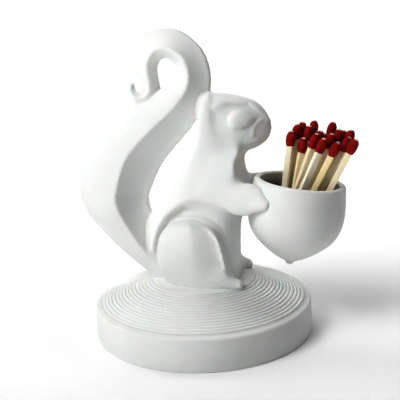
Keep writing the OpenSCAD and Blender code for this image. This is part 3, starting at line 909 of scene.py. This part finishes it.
# %% Match recipe
def match_recipe(name, blank, material, bow, rough, grain):
    tree, points, given = recipe(name, Bow=bow, Rough=rough, Grain=grain)
    info = tree.node("GeometryNodeObjectInfo", None, {"Object": blank}, out=4)
    turn = tree.node("GeometryNodeInputNamedAttribute", {"data_type": "QUATERNION"}, {"Name": "turn"})
    copies = tree.node("GeometryNodeInstanceOnPoints", None,
                       {"Points": points, "Instance": info, "Rotation": turn})
    real = tree.node("GeometryNodeRealizeInstances", None, {"Geometry": copies})
    fibre = tree.node("GeometryNodeInputNamedAttribute", {"data_type": "FLOAT_VECTOR"}, {"Name": "fibre"})
    number = tree.node("GeometryNodeInputNamedAttribute", {"data_type": "FLOAT"}, {"Name": "number"})
    apart = tree.node("ShaderNodeCombineXYZ", None,
                      {"X": number * 3.7, "Y": number * 1.9, "Z": number * 5.3})
    length = tree.vector("MULTIPLY", fibre, (0, 0, 1))
    slow = tree.node("ShaderNodeTexNoise", None,
                     {"Vector": tree.vector("ADD", length, apart), "Scale": 26.0, "Detail": 0.0}, out=1)
    stretch = tree.vector("MULTIPLY", fibre, (1, 1, 0.35))
    fine = tree.node("ShaderNodeTexNoise", None,
                     {"Vector": tree.vector("ADD", stretch, apart), "Scale": given["Grain"],
                      "Detail": 3.0}, out=1)
    centre = (0.5, 0.5, 0.5)
    bend = tree.node("ShaderNodeVectorMath", {"operation": "SCALE"},
                     {0: tree.vector("SUBTRACT", slow, centre), "Scale": given["Bow"]})
    chips = tree.node("ShaderNodeVectorMath", {"operation": "SCALE"},
                      {0: tree.vector("SUBTRACT", fine, centre), "Scale": given["Rough"]})
    moved = tree.node("GeometryNodeSetPosition", None,
                      {"Geometry": real, "Offset": tree.vector("ADD", bend, chips)})
    serve(tree, moved, material)
    return tree


def match_points(name):
    """One point per match, with its rotation and its number."""
    made = mesh_object(name, [place[0] / MM for place in places], [])
    turn = made.data.attributes.new("turn", "QUATERNION", "POINT")
    turn.data.foreach_set("value", [v for place in places for v in place[1]])
    number = made.data.attributes.new("number", "FLOAT", "POINT")
    number.data.foreach_set("value", [float(i + 1) for i in range(len(places))])
    return made

# %% [markdown]
# ## Wood and match heads
# Aspen splints are creamy, with thin darker fibres along the length, and each match is
# cut from another part of the log, so its number shifts the tone. The heads are dipped
# twice: a matte, grainy red body and a small pale tip that catches fire on the ridges.

# %% Wood
def wood_material():
    material, tree, shader = new_material(
        "aspen_wood", IOR=1.45, Specular_IOR_Level=0.25, Subsurface_Weight=0.08, Subsurface_Scale=0.0006)
    fibre = tree.node("ShaderNodeAttribute", {"attribute_name": "fibre"}, out=1)
    number = tree.node("ShaderNodeAttribute", {"attribute_name": "number"}, out=2)
    apart = tree.node("ShaderNodeCombineXYZ", None,
                      {"X": number * 0.31, "Y": number * 0.17, "Z": number * 0.23})
    along = tree.vector("ADD", tree.vector("MULTIPLY", fibre, (1, 1, 0.045)), apart)
    strands = tree.noise(along, 2400.0, 4.0, 0.65)
    bands = tree.noise(along, 420.0, 2.0)
    tone = (number * 12.9898).math("SINE").math("MULTIPLY", 43758.5453).math("FRACT")
    wood = tree.mix(bands.ramp(0.3, 0.7), (0.99, 0.92, 0.74, 1), (0.97, 0.83, 0.55, 1))
    deep = tree.mix(strands.ramp(0.54, 0.72) * 0.6, wood, (0.84, 0.56, 0.24, 1))
    pale = tree.mix(tone * 0.7, deep, (0.99, 0.96, 0.88, 1))
    plug(tree, pale, shader, "Base Color")
    plug(tree, 0.55 + strands * 0.2, shader, "Roughness")
    bump = tree.node("ShaderNodeBump", None, {"Strength": 0.35, "Distance": 0.00008, "Height": strands})
    plug(tree, bump, shader, "Normal")
    return material


def head_material():
    material, tree, shader = new_material("match_head_paste", IOR=1.5, Specular_IOR_Level=0.3)
    fibre = tree.node("ShaderNodeAttribute", {"attribute_name": "fibre"}, out=1)
    number = tree.node("ShaderNodeAttribute", {"attribute_name": "number"}, out=2)
    height = tree.node("ShaderNodeSeparateXYZ", None, {"Vector": fibre}, out=2)
    apart = tree.node("ShaderNodeCombineXYZ", None, {"X": number, "Y": number * 0.7})
    apart = tree.vector("ADD", fibre, apart)
    lumps = tree.noise(apart, 900.0, 3.0)
    grit = tree.noise(apart, 4200.0, 3.0, 0.7)
    red = tree.mix(lumps.ramp(0.3, 0.7), (0.27, 0.011, 0.009, 1), (0.46, 0.019, 0.015, 1))
    speckled = tree.mix(grit.ramp(0.56, 0.7) * 0.6, red, (0.08, 0.003, 0.003, 1))
    edge = height + (lumps - 0.5) * 0.0009
    tip = edge.ramp((MATCH_LENGTH - 0.55) * MM, (MATCH_LENGTH - 0.35) * MM)
    colour = tree.mix(tip, speckled, (0.78, 0.66, 0.58, 1))
    plug(tree, colour, shader, "Base Color")
    plug(tree, 0.6 + grit * 0.25, shader, "Roughness")
    bump = tree.node("ShaderNodeBump", None, {"Strength": 0.5, "Distance": 0.00012, "Height": grit + lumps})
    plug(tree, bump, shader, "Normal")
    return material


aspen, paste = wood_material(), head_material()
sticks = match_points("match_sticks")
cook(sticks, match_recipe("splint_recipe", splint, aspen, bow=0.3 * MM, rough=0.12 * MM, grain=900.0))
heads = match_points("match_heads")
cook(heads, match_recipe("head_recipe", drop, paste, bow=0.3 * MM, rough=0.35 * MM, grain=420.0))
for made, names, kind in ((sticks, stick_names, "wood"), (heads, head_names, "match_composition")):
    made.data.shade_smooth()
    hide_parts(*names)
    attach(made, "root")
    print(made.name, "triangles:", sum(len(p.vertices) - 2 for p in made.data.polygons))
for blank in (splint, drop):
    bpy.data.objects.remove(blank)

# %% [markdown]
# ## A plain place to stand
# The photo has a white sheet that rises behind the object. Ours is one smooth strip with
# a very faint glow that lifts its shadows.

# %% Sheet
def sheet_material():
    material, tree, shader = new_material(
        "white_sheet", Specular_IOR_Level=0.1, Emission_Color=(1, 1, 1, 1), Emission_Strength=0.04)
    place = tree.node("ShaderNodeTexCoord", out=3)
    tone = tree.mix(tree.noise(place, 30.0, 3.0), (0.92, 0.92, 0.92, 1), (0.95, 0.95, 0.95, 1))
    plug(tree, tone, shader, "Base Color")
    plug(tree, 0.8 + 0.1 * tree.noise(place, 900.0), shader, "Roughness")
    return material


SWEEP_FRONT, SWEEP_BACK, SWEEP_BEND, SWEEP_TOP, SWEEP_HALF = -900.0, 420.0, 200.0, 1100.0, 1300.0
path = [[SWEEP_FRONT, 0.0], [SWEEP_BACK, 0.0]]
path += [[SWEEP_BACK + SWEEP_BEND * math.sin(a), SWEEP_BEND * (1 - math.cos(a))]
         for a in np.radians(np.linspace(6, 90, 15))]
path.append([SWEEP_BACK + SWEEP_BEND, SWEEP_TOP])
rows = [[[x, y, z] for y, z in path] for x in (-SWEEP_HALF, SWEEP_HALF)]
count = len(path)
floor = mesh_object("white_sheet", rows[0] + rows[1],
                    [[i, count + i, count + i + 1, i + 1] for i in range(count - 1)], sheet_material())

# %% [markdown]
# ## Light
# Two broad, window-like lights stand on the left and in front, one of them high, and a
# faint one behind keeps the tail's edge. A strip lights the sheet in the distance and
# another, with a narrow spread, the sheet in front. The side to the right of the
# squirrel stays about a quarter as bright in the picture, as in the photo. A gamma below
# 1 gives the picture the photo's contrast, and the world around adds no light.

# %% Light
def soft_light(name, place, target, size, watts):
    data = bpy.data.lights.new(name, "AREA")
    data.shape, data.size, data.size_y, data.energy = "RECTANGLE", size[0], size[1], watts
    made = bpy.data.objects.new(name, data)
    bpy.context.scene.collection.objects.link(made)
    made.location = place
    made.rotation_euler = (Vector(target) - Vector(place)).to_track_quat("-Z", "Y").to_euler()
    return made


AIM = (0, 0, 0.06)
soft_light("window_left", (-0.53, -0.62, 0.42), AIM, (0.55, 0.55), 2.2)
soft_light("window_high", (-0.35, -0.45, 0.75), AIM, (0.45, 0.45), 5.1)
soft_light("window_behind", (-0.45, 0.4, 0.6), AIM, (0.6, 0.6), 0.05)
soft_light("sheet_light", (0.05, 0.16, 0.5), (0.05, 0.6, 0.05), (1.3, 0.3), 3.0)
front_strip = soft_light("front_strip", (-0.05, -0.5, 0.7), (-0.05, -0.5, 0), (1.2, 0.3), 2.6)
front_strip.data.spread = math.radians(50)
world = bpy.data.worlds.new("studio")
world.use_nodes = True
world.node_tree.nodes["Background"].inputs["Strength"].default_value = 0.0
bpy.context.scene.world = world
bpy.context.scene.view_settings.view_transform = "Standard"
bpy.context.scene.view_settings.gamma = 0.58
